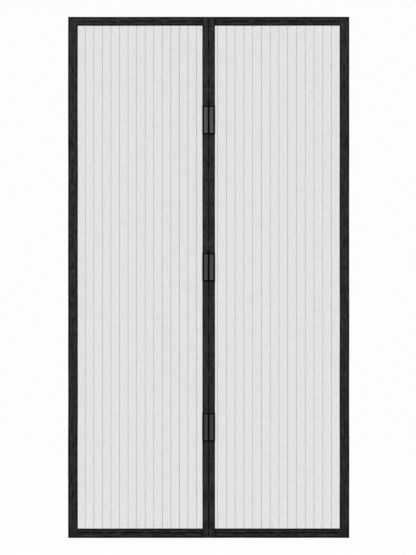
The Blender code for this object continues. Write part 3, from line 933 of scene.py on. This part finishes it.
for word in SIDES:
    lines = bpy.data.meshes.new(f"{word} seam lines")
    points, edges = seam_lines(word)
    lines.from_pydata(points, edges, [])
    values = {"Step": STITCH_STEP, "Half Size": STITCH_SIZE, "Seed": STITCH_SEED}
    values["Thread Material"] = sewing_thread
    stitches = grow(f"{word}_stitches", stitch_tree, values, lines)
    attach(stitches, BODY)

# %% [markdown]
# ## Clips and strips
#
# The clips are hard mouldings, so their solids stay as they are and only get their real surfaces: black
# ABS with a fine spark-eroded grain, and a dark grey cover that is brushed along its length. The strips
# on the back are nylon.

# %% Moulded plastics
def finish_nodes(material, ending):
    """Gives a material to the solids whose names have that ending."""
    names = [name for name in frame["nodes"] if name.endswith(ending)]
    for name in names:
        for slot in bpy.data.objects[name].material_slots:
            slot.material = material
    print(material.name, "on", len(names), "solids")


def black_abs(name, dark, pale, specular):
    """Moulded black ABS: even, with a fine spark-eroded grain of about 0.3 mm and hardly any gloss."""
    material, tree = new_material(name)
    wear = pattern(tree, "ShaderNodeTexNoise", 90.0, Detail=4.0)
    colour = add_node(tree, "ShaderNodeValToRGB", {"Fac": wear}, stops=((0.35, dark), (0.7, pale)))
    grain = pattern(tree, "ShaderNodeTexNoise", 3000.0, Detail=2.0)
    grain = {"Height": grain, "Strength": 0.2, "Distance": 0.00005}
    grain = add_node(tree, "ShaderNodeBump", grain).outputs[0]
    shaded(tree, colour.outputs[0], 0.7, specular, grain)
    return material


# The holders are painted almost pure black and nearly without gloss, darker than the back plates of the same
# ABS: partly the plastic's own black, partly painted shade round the covers.
finish_nodes(black_abs("moulded black ABS, holders", "#020202", "#060606", 0.03), "_magnet_holder")
finish_nodes(black_abs("moulded black ABS, back plates", "#0b0b0b", "#131313", 0.15), "_back_plate")

# %% Clip covers
END_HIGHLIGHT = 0.0045  # length of the painted highlight at each end of a cover


def cover_material(level, dark, pale, end_highlight_colour):
    """Dark grey ABS, brushed along its length, with a painted highlight at both ends.

    Real brush marks are finer. These are drawn 4 mm wide, so that they show.
    """
    lows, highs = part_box(f"left_{level}_magnet_cover")
    material, tree = new_material(f"brushed dark grey ABS, {level} clips")
    where = add_node(tree, "ShaderNodeTexCoord").outputs["Object"]
    drawn = add_node(tree, "ShaderNodeMapping", {"Vector": where, "Scale": (260.0, 260.0, 9.0)}).outputs[0]
    drawn = add_node(tree, "ShaderNodeTexNoise", {"Vector": drawn, "Scale": 1.0, "Detail": 4.0}).outputs[0]
    colour = add_node(tree, "ShaderNodeValToRGB", {"Fac": drawn}, stops=((0.32, dark), (0.68, pale)))
    height = add_node(tree, "ShaderNodeSeparateXYZ", {0: where}).outputs[2]
    centred = {0: height, 1: (lows.z + highs.z) / 2}
    centred = add_node(tree, "ShaderNodeMath", centred, operation="SUBTRACT").outputs[0]
    distance = add_node(tree, "ShaderNodeMath", {0: centred}, operation="ABSOLUTE").outputs[0]
    half = (highs.z - lows.z) / 2
    # A painted highlight: the cover is drawn paler near both of its ends.
    lit_ends = {0: distance, 1: half - END_HIGHLIGHT, 2: half - END_HIGHLIGHT / 2}
    lit_ends = add_node(tree, "ShaderNodeMapRange", lit_ends).outputs[0]
    colour = {0: lit_ends, 6: colour.outputs[0], 7: linear(end_highlight_colour)}
    colour = add_node(tree, "ShaderNodeMix", colour, data_type="RGBA").outputs[2]
    brushed = {"Height": drawn, "Strength": 0.2, "Distance": 0.0001}
    brushed = add_node(tree, "ShaderNodeBump", brushed).outputs[0]
    shaded(tree, colour, 0.5, 0.15, brushed)
    return material


# One cover material in three tones, lighter higher up: painted light, as the light falls from above.
finish_nodes(cover_material("upper", "#3c3c3d", "#505051", "#606061"), "_upper_magnet_cover")
finish_nodes(cover_material("middle", "#353536", "#464647", "#4b4b4c"), "_middle_magnet_cover")
finish_nodes(cover_material("lower", "#303031", "#404041", "#48484a"), "_lower_magnet_cover")

# %% Other hard pieces
# Sintered ferrite: a dull dark grey ceramic with a grain of about 0.5 mm.
ferrite, tree = new_material("sintered ferrite")
specks = pattern(tree, "ShaderNodeTexNoise", 1800.0, Detail=3.0)
colour = add_node(tree, "ShaderNodeValToRGB", {"Fac": specks}, stops=((0.35, "#2b2b2d"), (0.7, "#47474a")))
shaded(tree, colour.outputs[0], 0.6, 0.4)
finish_nodes(ferrite, "_bar_magnet")

# Galvanised steel strip: a bright metal with faint patches of zinc, about 4 mm each.
steel, tree = new_material("galvanised steel strip")
spangle = pattern(tree, "ShaderNodeTexVoronoi", 260.0)
colour = add_node(tree, "ShaderNodeValToRGB", {"Fac": spangle}, stops=((0.1, "#8c8f92"), (0.8, "#a9acaf")))
shaded(tree, colour.outputs[0], 0.4, 0.5, metallic=1.0)
finish_nodes(steel, "_hem_weight")

# Woven nylon hook strip with an adhesive coat on its back: black, a little glossy, dimpled every 2 mm.
hook_nylon, tree = new_material("adhesive-backed nylon hook strip")
dimples = pattern(tree, "ShaderNodeTexVoronoi", 500.0)
colour = add_node(tree, "ShaderNodeValToRGB", {"Fac": dimples}, stops=((0.1, "#0f0f10"), (0.8, "#1a1a1b")))
raised = add_node(tree, "ShaderNodeBump", {"Height": dimples, "Strength": 0.4, "Distance": 0.0003})
shaded(tree, colour.outputs[0], 0.5, 0.25, raised.outputs[0])
finish_nodes(hook_nylon, "hook_strip")

# %% [markdown]
# ## Loop strips
#
# The soft half of the hook-and-loop tape is sewn behind the top and side tapes. It is a thin woven band
# whose back is brushed into a dense pile. The band is drawn as a closed ring of points, carried along its
# length, and the points on the pile side are set at uneven heights, so that its edge looks fuzzy.

# %% Loop strip material
# Brushed nylon loop pile: a dense, matt fuzz of about 1 mm.
loop_pile, tree = new_material("brushed nylon loop pile")
fuzz = pattern(tree, "ShaderNodeTexNoise", 1100.0, Detail=4.0)
colour = add_node(tree, "ShaderNodeValToRGB", {"Fac": fuzz}, stops=((0.3, "#101011"), (0.7, "#252526")))
raised = add_node(tree, "ShaderNodeBump", {"Height": fuzz, "Strength": 0.8, "Distance": 0.0006})
shaded(tree, colour.outputs[0], 0.95, 0.1, raised.outputs[0])
print("loop pile:", len(tree.nodes), "nodes")

# %% Section of a loop strip
PILE_BASE = 0.0005  # thickness of the woven band under the pile
PILE_STEP = 0.0014
PILE_FLOOR = 0.45  # share of the pile's height that is left at the strip's two edges
PILE_CROWN = 0.25  # the smaller, the steeper the pile rises there
PILE_EDGE_ROUGHNESS = 0.3
FACE_BEVEL = 0.0002


def pile_ring(width, thickness):
    """The section of a loop strip: (across, height over the band's face, roughness), once round."""
    count = round(width / PILE_STEP)
    pile = []
    for step in range(count + 1):
        x = step / count
        crown = PILE_FLOOR + (1 - PILE_FLOOR) * (4 * x * (1 - x)) ** PILE_CROWN
        pile.append((x * width, PILE_BASE + (thickness - PILE_BASE) * crown, 1.0))
    face = [(width - FACE_BEVEL, 0.0, 0.0), (FACE_BEVEL, 0.0, 0.0)]
    edges = [(place, PILE_BASE, PILE_EDGE_ROUGHNESS) for place in (0.0, width)]
    return [edges[0], *pile, edges[1], *face]


low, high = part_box("left_side_loop_strip")
print("points round a loop strip:", len(pile_ring(high.x - low.x, high.y - low.y)))

# %% Loop strips
PILE_ROW = 0.003
PILE_ROUGHNESS = 0.00025
PILE_TUFTS = (1.0, 900, 900, 0)  # as in RIPPLE
PILE_EDGE = (0.0002, 300, 40, 9)


def loop_strip(word, kind, seed):
    """One loop strip, in the place of its solid."""
    node = f"{word}_{kind}_loop_strip"
    lows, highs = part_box(node)
    upright = kind == "side"
    width, length = highs.x - lows.x, highs.z - lows.z
    if not upright:
        width, length = length, width
    ring = pile_ring(width, highs.y - lows.y)
    rows = round(length / PILE_ROW)
    points = []
    for row in range(rows + 1):
        along = length * row / rows
        for across, height, rough in ring:
            height -= rough * PILE_ROUGHNESS * (0.5 + uneven(PILE_TUFTS, across, along, seed))
            aside = across + rough * uneven(PILE_EDGE, along, across, seed)
            x, z = (aside, along) if upright else (along, aside)
            points.append((lows.x + x, lows.y + height, lows.z + z))
    count = len(ring)
    faces = [tuple(range(count)), tuple(rows * count + step for step in reversed(range(count)))]
    for row in range(rows):
        for step in range(count):
            corner, beside = row * count + step, row * count + (step + 1) % count
            faces.append((corner, corner + count, beside + count, beside))
    name = f"{word}_{kind}_loop_band"
    mesh = bpy.data.meshes.new(name)
    mesh.from_pydata(points, [], faces)
    if closed_volume(mesh) < 0:
        mesh.flip_normals()
    mesh.materials.append(loop_pile)
    mesh.shade_smooth()
    mesh.set_sharp_from_angle(angle=math.radians(SHARP))
    strip = bpy.data.objects.new(name, mesh)
    bpy.context.collection.objects.link(strip)
    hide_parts(node)
    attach(strip, BODY)
    print(name, "volume cm3:", round(closed_volume(mesh) * 1e6, 1))


strips = [(word, kind) for word in SIDES for kind in ("side", "top")]
for count, (word, kind) in enumerate(strips):
    loop_strip(word, kind, 5.1 * count)

# %% Sizes and finish
low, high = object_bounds()
